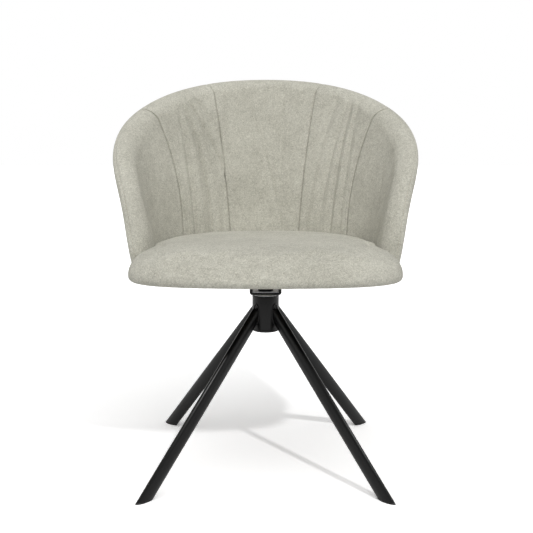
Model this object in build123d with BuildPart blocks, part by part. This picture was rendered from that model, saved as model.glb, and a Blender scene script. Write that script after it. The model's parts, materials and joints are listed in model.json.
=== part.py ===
"""Swivel dining chair: an upholstered tub on a four-legged steel base, which turns on a thrust bearing.

Frame: millimetres, +Z up, origin on the floor under the swivel axis. The sitter faces -Y, and +X is on
the right of a viewer who stands in front of the chair.
"""

from build123d import *
import os
from math import cos, hypot, pi, radians, sin, sqrt

os.makedirs("parts", exist_ok=True)

# ---- clearances -------------------------------------------------------------------------------------
fit_gap = 0.1  # between metal or wooden pieces that are pressed, welded or screwed together
running_gap = 0.05  # between the spindle and its bushes, and between the balls and their races
soft_gap = 0.4  # between an upholstered piece and what it lies against

# ---- base: hub, legs and glides ---------------------------------------------------------------------
foot_spread = 454.0  # between the foot centres, both ways
leg_apex = 345.0  # height at which the four leg axes would cross the swivel axis
leg_width = 29.0  # oval tube, measured in the plane of its lean
leg_thickness = 15.0
leg_wall = 1.5
hub_radius = 27.5
hub_wall = 2.5
hub_bottom = 282.6
hub_height = 70.4
end_chamfer = 0.8  # on the ends of the hub and the spindle
glide_pad = 3.0  # plastic under the end of each leg
glide_plug = 14.0  # how far the glide reaches up into the leg
cap_thickness = 4.8
cap_skirt = 8.0
cap_wall = 2.0

# ---- swivel: spindle, bushes and thrust bearing -----------------------------------------------------
spindle_radius = 10.0
thread_radius = 8.0
spindle_rise = 6.0  # from the bottom of the hub up to the end of the spindle
bush_height = 16.0
lower_bush_rise = 16.0  # from the bottom of the hub to the lower bush
washer_thickness = 2.0
washer_radius = 17.0
ring_thickness = 1.5  # retaining ring
ring_radius = 13.0
ring_groove = 1.2  # how deep the groove for the ring is
ring_mouth = 8.0
race_radius = 25.5
race_bore = 16.0
race_thickness = 1.2
ball_radius = 1.1
ball_count = 20
ball_circle = 21.5
cage_thickness = 0.8
cage_width = 6.0

# ---- swivel bracket and mounting plate --------------------------------------------------------------
bracket_width = 64.8
bracket_depth = 70.0
bracket_steel = 4.3
bracket_bend = 6.0  # outer radius of its two bends
bracket_height = 48.0
liner_thickness = 1.5
liner_inset = 5.0  # from the front and back ends of the bracket
nut_flange_radius = 16.0
nut_flange = 2.5
nut_across_flats = 24.0
nut_height = 10.0
plate_width = 170.0
plate_depth = 150.0
plate_thickness = 4.0
plate_corner = 12.0
bolt_spacing_x = 140.0
bolt_spacing_y = 116.0
bolt_radius = 3.0
bolt_reach = 10.0  # above the mounting plate
bolt_head_flats = 10.0
bolt_head = 4.0
tee_flange_radius = 9.0
tee_flange = 1.5
tee_wall = 1.2

# ---- seat board, rail and dust cover ----------------------------------------------------------------
board_thickness = 12.0
board_inset = 18.0  # from the widest outline of the pad
rail_thickness = 6.0
rail_width = 36.0
rail_screw_count = 7  # in each of its two rows
screw_turn = 98.0  # degrees from the back, where each row ends
screw_margin = 7.2  # from the inner edge of the rail to the inner row
screw_radius = 2.0
screw_head_radius = 3.6
screw_head = 2.0
screw_length = 13.0
dust_cover_thickness = 1.0
dust_cover_inset = 8.0  # from the edge of the board
window_margin = 9.0  # between the dust cover and the mounting plate

# ---- tub --------------------------------------------------------------------------------------------
plan_height = 440.0  # the plan of the outer face is measured at this height
tub_half_width = 266.0
tub_centre = -30.0  # where the tub is widest
tub_rear = 222.0  # from there to the back
tub_front = 478.0  # from there to where the arms would meet
tub_roundness = 1.81  # exponent of the plan's curve: 2 is an ellipse
flare = 0.212  # how far the wall leans out per unit of height
rim_height = 809.5  # top of the back
rim_foot = 392.5  # height to which the rim falls at the full turn
rim_turn = 114.0  # degrees from the back, where it would get there
rim_fall = 2.09  # exponents of the rim's curve
rim_swell = 1.88
arm_turn = 112.0  # degrees from the back, where the arms stop
cover_thickness = 9.0  # foam and cloth of the outer back
core_thickness = 10.0  # moulded plywood
wall_thickness = 46.0  # the whole wall, at the middle of a panel
seam_dip = 4.0  # how much thinner it is at a seam
pleat_dip = 3.0  # and at a pleat
belly = 5.0  # how far the inner face swells between the rim and the seat
rim_roll = 24.0  # how far down the inner face the rim is round
cover_roll = 16.0  # how far below the rim the outer cover begins to round over it
seam_depth = 10.0  # from the outer face to the seam between the cover and the inner panels
seam_drop = 3.0  # and how far that seam is below the rim
core_rim = 19.0  # from the rim down to the edge of the core
centre_seam = 24.5  # degrees from the back to the seams
side_seam = 59.0
pleat_count = 3  # in each pleated panel
arm_nose = 1.6  # degrees of solid padding at the end of each arm
centre_steps = 6  # sections from the middle of the back to the centre seam
back_steps = 8  # from there to the side seam
arm_steps = 14  # and on to the end of an arm

# ---- seat pad ---------------------------------------------------------------------------------------
pad_half_width = 258.0
pad_centre = -170.0  # where it is widest
pad_front = 97.5  # from there to its front
pad_rear = 345.0  # from there to the back, where the tub would let it
pad_roundness = 2.5  # exponent of its outline
pad_bottom = 405.0
pad_side = 420.0  # height at which it is widest
pad_crown = 477.0
pad_tuck = 12.0  # how far it draws in below its widest
pad_dome = 110.0  # how far in the crown is flat
pad_fullness = 0.32  # exponent of its shoulder: less is fuller
pad_shift = 0.8  # how far the outline moves back as it draws in
lower_tilts = (0, 30, 60, 90)  # degrees round the pad's side at which its outline is drawn
upper_tilts = (16, 30, 42, 53, 63, 72, 80, 90)

# ---- heights that follow ----------------------------------------------------------------------------
hub_top = hub_bottom + hub_height
hub_bore = hub_radius - hub_wall
race_gap = 2 * ball_radius + 2 * running_gap
upper_race_bottom = hub_top + race_thickness + race_gap
bracket_bottom = upper_race_bottom + race_thickness + fit_gap
liner_bottom = bracket_bottom + bracket_steel
nut_bottom = liner_bottom + liner_thickness
plate_bottom = bracket_bottom + bracket_height
board_bottom = plate_bottom + plate_thickness
board_top = board_bottom + board_thickness
tub_bottom = board_bottom - rail_thickness
lower_bush_bottom = hub_bottom + lower_bush_rise
washer_bottom = lower_bush_bottom - washer_thickness - running_gap
ring_bottom = washer_bottom - ring_thickness


def keep(piece, name):
    """Labels a finished sub-part and writes its STEP file."""
    piece.label = name
    export_step(piece, f"parts/{name}.step")


def ring(bottom, height, outer, bore):
    """Solid ring around the swivel axis."""
    with BuildPart() as shape:
        with BuildSketch(Plane.XY.offset(bottom)):
            Circle(outer)
            Circle(bore, mode=Mode.SUBTRACT)
        extrude(amount=height)
    return shape


# =====================================================================================================
# Base
# =====================================================================================================
with BuildPart() as hub_tube:
    with BuildSketch(Plane.XY.offset(hub_bottom)):
        Circle(hub_radius)
        Circle(hub_bore, mode=Mode.SUBTRACT)
    extrude(amount=hub_height)
    chamfer(hub_tube.edges().filter_by(GeomType.CIRCLE).group_by(Axis.Z)[0], end_chamfer)
    chamfer(hub_tube.edges().filter_by(GeomType.CIRCLE).group_by(Axis.Z)[-1], end_chamfer)
keep(hub_tube.part, "hub_tube")

with BuildPart() as hub_cap:
    with BuildSketch(Plane.XY.offset(hub_bottom - cap_thickness)):
        Circle(hub_radius)
    extrude(amount=cap_thickness)
    fillet(hub_cap.edges().sort_by(Axis.Z)[0], cap_thickness / 2)
    with BuildSketch(Plane.XY.offset(hub_bottom)):
        Circle(hub_bore - fit_gap)
        Circle(hub_bore - fit_gap - cap_wall, mode=Mode.SUBTRACT)
    extrude(amount=cap_skirt - cap_thickness)
keep(hub_cap.part, "hub_cap")

foot = foot_spread / 2
leg_length = hypot(foot * sqrt(2), leg_apex)


def leg_plane(side, end):
    """Plane at the apex of one leg: Z runs down the leg, and X is square to its lean."""
    down = Vector(side * foot, end * foot, -leg_apex).normalized()
    across = Vector(-end, side, 0).normalized()
    return Plane(origin=(0, 0, leg_apex), x_dir=across, z_dir=down)


def leg_bar(side, end, inset, low, high):
    """Oval bar along a leg, drawn in by inset and cut between two heights."""
    with BuildPart() as bar:
        with BuildSketch(leg_plane(side, end)):
            Ellipse(leg_thickness / 2 - inset, leg_width / 2 - inset)
        extrude(amount=leg_length + leg_width)
        with BuildSketch(Plane.XY.offset(low)):
            Rectangle(2 * foot_spread, 2 * foot_spread)
        extrude(amount=high - low, mode=Mode.INTERSECT)
    return bar


def make_leg(side, end):
    """Oval tube, cut level at the foot and to the curve of the hub at the top."""
    outside = leg_bar(side, end, 0, glide_pad, leg_apex + leg_width)
    inside = leg_bar(side, end, leg_wall, 0, leg_apex + leg_width)
    with BuildPart() as leg:
        add(outside)
        add(inside, mode=Mode.SUBTRACT)
        with BuildSketch():
            Circle(hub_radius + fit_gap)
        extrude(amount=leg_apex + leg_width, mode=Mode.SUBTRACT)
    return leg


def make_glide(side, end):
    """Plastic plug in the end of a leg, with a pad that stands on the floor."""
    pad = leg_bar(side, end, 0, 0, glide_pad)
    plug = leg_bar(side, end, leg_wall + fit_gap, glide_pad / 2, glide_pad + glide_plug)
    with BuildPart() as glide:
        add(pad)
        add(plug)
    return glide


for side, side_name in ((-1, "left"), (1, "right")):
    for end, end_name in ((-1, "front"), (1, "rear")):
        keep(make_leg(side, end).part, f"leg_{end_name}_{side_name}")
        keep(make_glide(side, end).part, f"glide_{end_name}_{side_name}")

# =====================================================================================================
# Swivel
# =====================================================================================================
bush_radius = hub_bore - fit_gap
bush_bore = spindle_radius + running_gap
keep(ring(lower_bush_bottom, bush_height, bush_radius, bush_bore).part, "lower_bush")
keep(ring(hub_top - bush_height, bush_height, bush_radius, bush_bore).part, "upper_bush")

keep(ring(hub_top, race_thickness, race_radius, race_bore).part, "lower_race")
keep(ring(upper_race_bottom, race_thickness, race_radius, race_bore).part, "upper_race")

ball_height = hub_top + race_thickness + race_gap / 2
with BuildPart() as bearing_balls:
    with Locations((0, 0, ball_height)):
        with PolarLocations(ball_circle, ball_count):
            Sphere(ball_radius)
keep(bearing_balls.part, "bearing_balls")

with BuildPart() as ball_cage:
    with BuildSketch(Plane.XY.offset(ball_height - cage_thickness / 2)):
        Circle(ball_circle + cage_width / 2)
        Circle(ball_circle - cage_width / 2, mode=Mode.SUBTRACT)
        with PolarLocations(ball_circle, ball_count):
            Circle(ball_radius + fit_gap, mode=Mode.SUBTRACT)
    extrude(amount=cage_thickness)
keep(ball_cage.part, "ball_cage")

spindle_bottom = hub_bottom + spindle_rise
spindle_top = nut_bottom + nut_flange + nut_height
with BuildPart() as spindle:
    with BuildSketch(Plane.XY.offset(spindle_bottom)):
        Circle(spindle_radius)
    extrude(amount=bracket_bottom - spindle_bottom)
    with BuildSketch(Plane.XY.offset(bracket_bottom)):
        Circle(thread_radius)
    extrude(amount=spindle_top - bracket_bottom)
    chamfer(spindle.edges().filter_by(GeomType.CIRCLE).group_by(Axis.Z)[0], end_chamfer)
    chamfer(spindle.edges().filter_by(GeomType.CIRCLE).group_by(Axis.Z)[-1], end_chamfer)
    with BuildSketch(Plane.XY.offset(ring_bottom)):
        Circle(spindle_radius + ring_groove)
        Circle(spindle_radius - ring_groove, mode=Mode.SUBTRACT)
    extrude(amount=ring_thickness, mode=Mode.SUBTRACT)
keep(spindle.part, "spindle")

keep(ring(washer_bottom, washer_thickness, washer_radius, bush_bore).part, "spindle_washer")

with BuildPart() as retaining_ring:
    with BuildSketch(Plane.XY.offset(ring_bottom)):
        Circle(ring_radius)
        Circle(spindle_radius - ring_groove + fit_gap, mode=Mode.SUBTRACT)
        with Locations((0, -ring_radius / 2)):
            Rectangle(ring_mouth, ring_radius, mode=Mode.SUBTRACT)
    extrude(amount=ring_thickness)
keep(retaining_ring.part, "retaining_ring")

# =====================================================================================================
# Bracket, plate and fasteners
# =====================================================================================================
with BuildPart() as swivel_bracket:
    with BuildSketch(Plane.XZ.offset(-bracket_depth / 2)) as channel:
        with Locations((0, bracket_bottom)):
            Rectangle(bracket_width, bracket_height, align=(Align.CENTER, Align.MIN))
        fillet(channel.vertices().group_by(Axis.Y)[0], bracket_bend)
        with Locations((0, liner_bottom)):
            inside = bracket_width - 2 * bracket_steel
            Rectangle(inside, bracket_height, align=(Align.CENTER, Align.MIN), mode=Mode.SUBTRACT)
        fillet(channel.vertices().group_by(Axis.Y)[1], bracket_bend - bracket_steel)
    extrude(amount=bracket_depth)
    with BuildSketch(Plane.XY.offset(bracket_bottom)):
        Circle(thread_radius + fit_gap)
    extrude(amount=bracket_steel, mode=Mode.SUBTRACT)
keep(swivel_bracket.part, "swivel_bracket")

with BuildPart() as bracket_liner:
    with BuildSketch(Plane.XY.offset(liner_bottom)):
        Rectangle(bracket_width - 2 * bracket_bend, bracket_depth - 2 * liner_inset)
        Circle(thread_radius + fit_gap, mode=Mode.SUBTRACT)
    extrude(amount=liner_thickness)
keep(bracket_liner.part, "bracket_liner")

with BuildPart() as spindle_nut:
    with BuildSketch(Plane.XY.offset(nut_bottom)):
        Circle(nut_flange_radius)
    extrude(amount=nut_flange)
    with BuildSketch(Plane.XY.offset(nut_bottom + nut_flange)):
        RegularPolygon(nut_across_flats / 2, 6, major_radius=False)
    extrude(amount=nut_height)
    with BuildSketch(Plane.XY.offset(nut_bottom)):
        Circle(thread_radius + fit_gap)
    extrude(amount=nut_flange + nut_height, mode=Mode.SUBTRACT)
keep(spindle_nut.part, "spindle_nut")

bolt_places = GridLocations(bolt_spacing_x, bolt_spacing_y, 2, 2)
tee_bore = bolt_radius + fit_gap
tee_radius = tee_bore + tee_wall

with BuildPart() as mounting_plate:
    with BuildSketch(Plane.XY.offset(plate_bottom)):
        RectangleRounded(plate_width, plate_depth, plate_corner)
        with bolt_places:
            Circle(bolt_radius + fit_gap, mode=Mode.SUBTRACT)
    extrude(amount=plate_thickness)
keep(mounting_plate.part, "mounting_plate")

with BuildPart() as mounting_bolts:
    with BuildSketch(Plane.XY.offset(plate_bottom - bolt_head)):
        with bolt_places:
            RegularPolygon(bolt_head_flats / 2, 6, major_radius=False)
    extrude(amount=bolt_head)
    with BuildSketch(Plane.XY.offset(plate_bottom)):
        with bolt_places:
            Circle(bolt_radius)
    extrude(amount=plate_thickness + bolt_reach)
keep(mounting_bolts.part, "mounting_bolts")

with BuildPart() as tee_nuts:
    with BuildSketch(Plane.XY.offset(board_bottom + fit_gap)):
        with bolt_places:
            Circle(tee_radius)
            Circle(tee_bore, mode=Mode.SUBTRACT)
    extrude(amount=board_thickness - 2 * fit_gap)
    with BuildSketch(Plane.XY.offset(board_top - fit_gap - tee_flange)):
        with bolt_places:
            Circle(tee_flange_radius)
            Circle(tee_bore, mode=Mode.SUBTRACT)
    extrude(amount=tee_flange)
keep(tee_nuts.part, "tee_nuts")


# =====================================================================================================
# Tub: plan, rim and sections
# =====================================================================================================
def oval_reach(turn, across, rear, front, exponent):
    """Radius of an oval with an exponent, at a turn in degrees from its rear."""
    along = rear if cos(radians(turn)) > 0 else front
    share = abs(sin(radians(turn)) / across) ** exponent + abs(cos(radians(turn)) / along) ** exponent
    return share ** (-1 / exponent)


def tub_reach(turn, height, depth):
    """Distance from the tub's centre to a point this deep under its outer face."""
    plan = oval_reach(turn, tub_half_width, tub_rear, tub_front, tub_roundness)
    return plan + flare * (height - plan_height) - depth


def tub_spot(turn, height, depth):
    """Place in plan of a point this deep under the outer face."""
    reach = tub_reach(turn, height, depth)
    return (reach * sin(radians(turn)), tub_centre + reach * cos(radians(turn)))


def rim_at(turn):
    """Height of the rim at a turn from the back."""
    return rim_foot + (rim_height - rim_foot) * (1 - (abs(turn) / rim_turn) ** rim_fall) ** (1 / rim_swell)


def wall_plane(turn):
    """Upright plane through the tub's centre: X runs outwards, Y runs up."""
    outward = Vector(sin(radians(turn)), cos(radians(turn)), 0)
    return Plane(origin=(0, tub_centre, 0), x_dir=outward, z_dir=outward.cross(Vector(0, 0, 1)))


core_depth = cover_thickness + soft_gap
pad_depth = core_depth + core_thickness + 2 * soft_gap  # where the inner panels begin
board_depth = pad_depth + soft_gap
panel_foot = board_top + soft_gap
outline_turns = range(-180, 180, 12)


def oval_points(turns, height, depth):
    return [tub_spot(turn, height, depth) for turn in turns]


def pad_points(inset):
    """Outline of the pad in plan, drawn in by inset."""
    shift = pad_shift * inset
    across = pad_half_width - inset
    rear = pad_rear - inset - shift
    front = pad_front - inset + shift
    points = []
    for turn in outline_turns:
        reach = oval_reach(turn, across, rear, front, pad_roundness)
        points.append((reach * sin(radians(turn)), pad_centre + shift + reach * cos(radians(turn))))
    return points


def outline_sketch(points, height):
    """Level face inside a smooth closed curve."""
    with BuildSketch(Plane.XY.offset(height)) as outline:
        with BuildLine():
            Spline(*points, periodic=True)
        make_face()
    return outline.sketch


def panel_section(turn, thickness, whole=False):
    """Upright section of an inner panel, which goes over the core's rim; whole has no room for the core."""
    rim = rim_at(turn)

    def spot(depth, height):
        return (tub_reach(turn, height, depth), height)

    roll_end = rim - rim_roll
    seam = spot(seam_depth, rim - seam_drop)
    with BuildSketch(wall_plane(turn)) as section:
        with BuildLine():
            ThreePointArc(seam, spot(thickness / 2, rim), spot(thickness, roll_end))
            ThreePointArc(
                spot(thickness, roll_end),
                spot(thickness + belly, (roll_end + panel_foot) / 2),
                spot(thickness, panel_foot),
            )
            if whole:
                Polyline(
                    spot(thickness, panel_foot),
                    spot(pad_depth, panel_foot),
                    spot(pad_depth, tub_bottom),
                    spot(0, tub_bottom),
                    spot(0, rim - cover_roll),
                )
                TangentArc(spot(0, rim - cover_roll), seam, tangent=(flare, 1))
            else:
                Polyline(
                    spot(thickness, panel_foot),
                    spot(pad_depth, panel_foot),
                    spot(pad_depth, rim - core_rim + soft_gap),
                    spot(seam_depth, rim - core_rim + soft_gap),
                    seam,
                )
        make_face()
    return section.sketch


def cover_section(turn):
    """Upright section of the outer cover, whose top rolls over to the seam."""
    rim = rim_at(turn)

    def spot(depth, height):
        return (tub_reach(turn, height, depth), height)

    shoulder = spot(0, rim - cover_roll)
    seam = spot(seam_depth - soft_gap, rim - seam_drop - soft_gap)
    with BuildSketch(wall_plane(turn)) as section:
        with BuildLine():
            TangentArc(shoulder, seam, tangent=(flare, 1))
            Polyline(
                seam,
                spot(cover_thickness, rim - core_rim),
                spot(cover_thickness, tub_bottom),
                spot(0, tub_bottom),
                shoulder,
            )
        make_face()
    return section.sketch


def spread(start, end, steps):
    """Evenly spaced turns, both ends among them."""
    return [start + (end - start) * step / steps for step in range(steps + 1)]


def panel_turns(start, end, steps, waves=0):
    """Turns and thicknesses from seam to seam, with a dip at each pleat."""
    stations = []
    for step, turn in enumerate(spread(start, end, steps)):
        dip = pleat_dip * (1 + cos(2 * pi * waves * step / steps)) / 2 if waves else 0
        stations.append((turn, wall_thickness - (seam_dip if step in (0, steps) else dip)))
    return stations


def make_panel(stations):
    sections = [panel_section(turn, thickness) for turn, thickness in stations]
    with BuildPart() as panel:
        loft(sections, ruled=True)
    return panel


def wall_face(turn, corners):
    """Upright section with straight sides, from its corners as pairs of depth and height."""
    with BuildSketch(wall_plane(turn)) as section:
        with BuildLine():
            Polyline(*[(tub_reach(turn, height, depth), height) for depth, height in corners], close=True)
        make_face()
    return section.sketch


def core_section(turn):
    """Upright section of the moulded core."""
    top = rim_at(turn) - core_rim
    outer, inner = core_depth, core_depth + core_thickness
    return wall_face(turn, [(outer, board_bottom), (outer, top), (inner, top), (inner, board_bottom)])


half_seam = soft_gap / 2 / tub_rear * 180 / pi
nose_turn = arm_turn - arm_nose  # where the solid end of each arm begins
shell_turn = nose_turn - 2 * half_seam  # where core and cover end
half_turns = spread(0, centre_seam, centre_steps)[1:] + spread(centre_seam, side_seam, back_steps)[1:]
half_turns += spread(side_seam, nose_turn, arm_steps)[1:-1] + [shell_turn]
shell_turns = [-turn for turn in reversed(half_turns)] + [0] + half_turns

# =====================================================================================================
# Tub: core, outer cover and inner panels
# =====================================================================================================
rail_outer = core_depth + soft_gap
rail_inner = rail_outer + rail_width
screw_turns = [screw_turn * (2 * step / (rail_screw_count - 1) - 1) for step in range(rail_screw_count)]
core_screws = [tub_spot(turn, board_bottom, core_depth + core_thickness / 2) for turn in screw_turns]
board_screws = [tub_spot(turn, board_bottom, rail_inner - screw_margin) for turn in screw_turns]
screw_places = core_screws + board_screws
screw_bottom = tub_bottom + fit_gap

with BuildPart() as screw_holes:
    with BuildSketch(Plane.XY.offset(tub_bottom)):
        with Locations(*screw_places):
            Circle(screw_radius + fit_gap)
    extrude(amount=screw_bottom + screw_length + fit_gap - tub_bottom)

with BuildPart() as tub_core:
    loft([core_section(turn) for turn in shell_turns], ruled=True)
    add(screw_holes, mode=Mode.SUBTRACT)
keep(tub_core.part, "tub_core")

with BuildPart() as outer_cover:
    loft([cover_section(turn) for turn in shell_turns], ruled=True)
keep(outer_cover.part, "outer_cover")

centre_edge = centre_seam - half_seam
centre_panel = make_panel(panel_turns(-centre_edge, centre_edge, 2 * centre_steps))
keep(centre_panel.part, "centre_panel")


def make_side_panel(side):
    """Panel from the side seam to the front of an arm, where it goes round the ends of core and cover."""
    stations = [(side * turn, wall_thickness) for turn in spread(side_seam, nose_turn, arm_steps)]
    stations[0] = (side * (side_seam + half_seam), wall_thickness - seam_dip)
    padding = make_panel(stations)
    ends = [panel_section(side * turn, wall_thickness, whole=True) for turn in (nose_turn, arm_turn)]
    with BuildPart() as panel:
        add(padding)
        loft(ends, ruled=True)
    return panel


for side, side_name in ((-1, "left"), (1, "right")):
    waves = pleat_count + 1
    pleats = panel_turns(side * (centre_seam + half_seam), side * (side_seam - half_seam), 4 * waves, waves)
    keep(make_panel(pleats).part, f"pleated_panel_{side_name}")
    keep(make_side_panel(side).part, f"side_panel_{side_name}")

# =====================================================================================================
# Rail, board and dust cover
# =====================================================================================================
rail_edge = [tub_spot(turn, tub_bottom, rail_outer) for turn in shell_turns]
rail_lining = [tub_spot(turn, tub_bottom, rail_inner) for turn in reversed(shell_turns)]

with BuildPart() as tub_rail:
    with BuildSketch(Plane.XY.offset(tub_bottom)):
        with BuildLine():
            Spline(*rail_edge)
            Line(rail_edge[-1], rail_lining[0])
            Spline(*rail_lining)
            Line(rail_lining[-1], rail_edge[0])
        make_face()
        with Locations(*screw_places):
            Circle(screw_radius + fit_gap, mode=Mode.SUBTRACT)
    extrude(amount=rail_thickness - fit_gap)
    with BuildSketch(Plane.XY.offset(tub_bottom)):
        with Locations(*screw_places):
            Circle(screw_head_radius + fit_gap)
    extrude(amount=screw_head + 2 * fit_gap, mode=Mode.SUBTRACT)
keep(tub_rail.part, "tub_rail")

with BuildPart() as rail_screws:
    with BuildSketch(Plane.XY.offset(screw_bottom)):
        with Locations(*screw_places):
            Circle(screw_head_radius)
    extrude(amount=screw_head)
    with BuildSketch(Plane.XY.offset(screw_bottom)):
        with Locations(*screw_places):
            Circle(screw_radius)
    extrude(amount=screw_length)
keep(rail_screws.part, "rail_screws")

board_front = outline_sketch(pad_points(board_inset), board_bottom)
board_rear = outline_sketch(oval_points(outline_turns, board_bottom, board_depth), board_bottom)
with BuildPart() as seat_board:
    extrude(board_front, amount=board_thickness)
    extrude(board_rear, amount=board_thickness, mode=Mode.INTERSECT)
    add(screw_holes, mode=Mode.SUBTRACT)
    with BuildSketch(Plane.XY.offset(board_bottom)):
        with bolt_places:
            Circle(tee_radius + fit_gap)
    extrude(amount=board_thickness, mode=Mode.SUBTRACT)
    with BuildSketch(Plane.XY.offset(board_top)):
        with bolt_places:
            Circle(tee_flange_radius + fit_gap)
    extrude(amount=-tee_flange - 2 * fit_gap, mode=Mode.SUBTRACT)
keep(seat_board.part, "seat_board")

cover_bottom = board_bottom - fit_gap - dust_cover_thickness
cover_front = outline_sketch(pad_points(board_inset + dust_cover_inset), cover_bottom)
cover_rear = outline_sketch(oval_points(outline_turns, tub_bottom, rail_inner + soft_gap), cover_bottom)
with BuildPart() as dust_cover:
    extrude(cover_front, amount=dust_cover_thickness)
    extrude(cover_rear, amount=dust_cover_thickness, mode=Mode.INTERSECT)
    with BuildSketch(Plane.XY.offset(cover_bottom)):
        RectangleRounded(plate_width + 2 * window_margin, plate_depth + 2 * window_margin, plate_corner)
    extrude(amount=dust_cover_thickness, mode=Mode.SUBTRACT)
keep(dust_cover.part, "dust_cover")

# =====================================================================================================
# Seat pad
# =====================================================================================================
pad_slices = []
for tilt in lower_tilts:
    draw_in = pad_tuck * (1 - sin(radians(tilt)))
    height = pad_side - (pad_side - pad_bottom) * cos(radians(tilt))
    pad_slices.append(outline_sketch(pad_points(draw_in), height))
for tilt in upper_tilts:
    draw_in = pad_dome * (1 - cos(radians(tilt)) ** (2 * pad_fullness))
    height = pad_side + (pad_crown - pad_side) * sin(radians(tilt))
    pad_slices.append(outline_sketch(pad_points(draw_in), height))

gap_turn = arm_turn + half_seam * 2
cutter_turns = [-gap_turn] + shell_turns + [gap_turn]
cutter_margin = 3 * wall_thickness  # clears what lies outside the tub
cutter_depth = wall_thickness + belly + soft_gap
cutter_corners = [
    (-cutter_margin, pad_bottom - cutter_margin),
    (cutter_depth, pad_bottom - cutter_margin),
    (cutter_depth, pad_crown + cutter_margin),
    (-cutter_margin, pad_crown + cutter_margin),
]

board_room = outline_sketch(pad_points(board_inset - soft_gap), pad_bottom)
with BuildPart() as seat_pad:
    loft(pad_slices, ruled=True)
    loft([wall_face(turn, cutter_corners) for turn in cutter_turns], ruled=True, mode=Mode.SUBTRACT)
    extrude(board_room, amount=board_top + soft_gap - pad_bottom, mode=Mode.SUBTRACT)
keep(seat_pad.part, "seat_pad")
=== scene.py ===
# %% [markdown]
# # Dressing a swivel dining chair
# The chair is an upholstered tub on four steel legs. Its construction comes from the CAD frame, in metres,
# with +Z up, the origin on the floor under the swivel axis and the sitter facing -Y. This script gives it
# its looks: cloth over foam, powder-coated steel and a few bright fittings.

import json
from math import atan2, cos, degrees, exp, hypot, pi, radians, sin, sqrt

import bmesh
import bpy
from mathutils import Matrix, Vector


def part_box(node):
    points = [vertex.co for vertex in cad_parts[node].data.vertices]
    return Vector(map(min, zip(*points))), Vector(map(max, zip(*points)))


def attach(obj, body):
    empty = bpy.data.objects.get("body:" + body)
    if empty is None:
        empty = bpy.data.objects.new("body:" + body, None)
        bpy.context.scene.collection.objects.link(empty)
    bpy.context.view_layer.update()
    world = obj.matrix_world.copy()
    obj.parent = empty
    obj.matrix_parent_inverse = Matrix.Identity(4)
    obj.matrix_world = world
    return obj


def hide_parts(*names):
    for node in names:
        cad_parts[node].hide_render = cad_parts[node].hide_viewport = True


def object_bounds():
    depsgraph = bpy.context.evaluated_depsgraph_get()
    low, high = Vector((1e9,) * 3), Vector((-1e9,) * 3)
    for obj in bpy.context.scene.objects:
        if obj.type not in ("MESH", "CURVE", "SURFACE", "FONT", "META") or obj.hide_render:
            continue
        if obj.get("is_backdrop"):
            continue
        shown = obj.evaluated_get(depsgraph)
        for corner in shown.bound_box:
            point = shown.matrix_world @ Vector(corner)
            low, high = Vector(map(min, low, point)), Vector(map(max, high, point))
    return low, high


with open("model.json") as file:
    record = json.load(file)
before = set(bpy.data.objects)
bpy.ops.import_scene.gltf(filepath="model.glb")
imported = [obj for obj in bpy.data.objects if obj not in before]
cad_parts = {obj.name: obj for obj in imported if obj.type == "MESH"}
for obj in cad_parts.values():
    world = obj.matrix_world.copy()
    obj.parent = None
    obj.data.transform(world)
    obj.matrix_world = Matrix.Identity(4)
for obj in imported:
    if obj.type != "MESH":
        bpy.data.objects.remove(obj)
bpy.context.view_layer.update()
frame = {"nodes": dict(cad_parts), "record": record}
mm = 0.001

# %% [markdown]
# ## Materials: the helpers
# A colour is easiest to pick as sRGB hex, but the shader works in linear light, so one function turns it.
# Another adds a node: keyword arguments are its settings, and `inputs` holds values or sockets to link. An
# input is found by its name or number. A Mix node has one socket of each name for each kind of data, so
# its two colours go by number.


# %% Colour and node helpers
def linear(hex_colour):
    """Linear RGBA of an sRGB hex colour."""
    channels = [int(hex_colour[i : i + 2], 16) / 255 for i in (1, 3, 5)]
    return [c / 12.92 if c <= 0.04045 else ((c + 0.055) / 1.055) ** 2.4 for c in channels] + [1.0]


def add_node(tree, kind, inputs=None, **settings):
    """A new node, with its settings, and its inputs as values or as sockets to link."""
    node = tree.nodes.new(kind)
    for name, value in settings.items():
        setattr(node, name, value)
    for name, value in (inputs or {}).items():
        if isinstance(value, bpy.types.NodeSocket):
            tree.links.new(value, node.inputs[name])
        else:
            node.inputs[name].default_value = value
    return node


def new_material(name):
    """An empty material and its node tree."""
    material = bpy.data.materials.new(name)
    material.use_nodes = True
    tree = material.node_tree
    tree.nodes.clear()
    return material, tree


def spread(value, low, high, new_low=0.0, new_high=1.0):
    """Map Range inputs that take a pattern's values from low to high over a new range."""
    return {"Value": value, "From Min": low, "From Max": high, "To Min": new_low, "To Max": new_high}


def between_colours(share, low, high):
    """Colour Mix inputs: two hex colours, and the share of the second."""
    return {"Factor": share, 6: linear(low), 7: linear(high)}


def finish_material(tree, shader, height, relief):
    """Joins the shader to the output, with a bump of this relief in metres."""
    bump = add_node(tree, "ShaderNodeBump", {"Height": height, "Distance": relief, "Strength": 1.0})
    tree.links.new(bump.outputs["Normal"], shader.inputs["Normal"])
    add_node(tree, "ShaderNodeOutputMaterial", {"Surface": shader.outputs["BSDF"]})


# %% [markdown]
# ## Upholstery cloth
# The cover is a chenille-like polyester cloth. Its curly yarn ends are 2 to 3 mm across and lie like little
# worms, so it reads as a fine warm-grey speckle with no weave lines. A noise gives the flecks, a second one
# folded about its middle gives the curls, and two slow ones give the nap that lies this way and that. It is
# very rough, with some sheen from the fibre ends.

# %% Cloth
yarn = 2.4 * mm  # a fleck
curl = 4.2 * mm  # a curled yarn end
nap = 16 * mm  # a patch whose fibres lie one way
hand_patch = 95 * mm  # a patch that a hand has brushed


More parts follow.
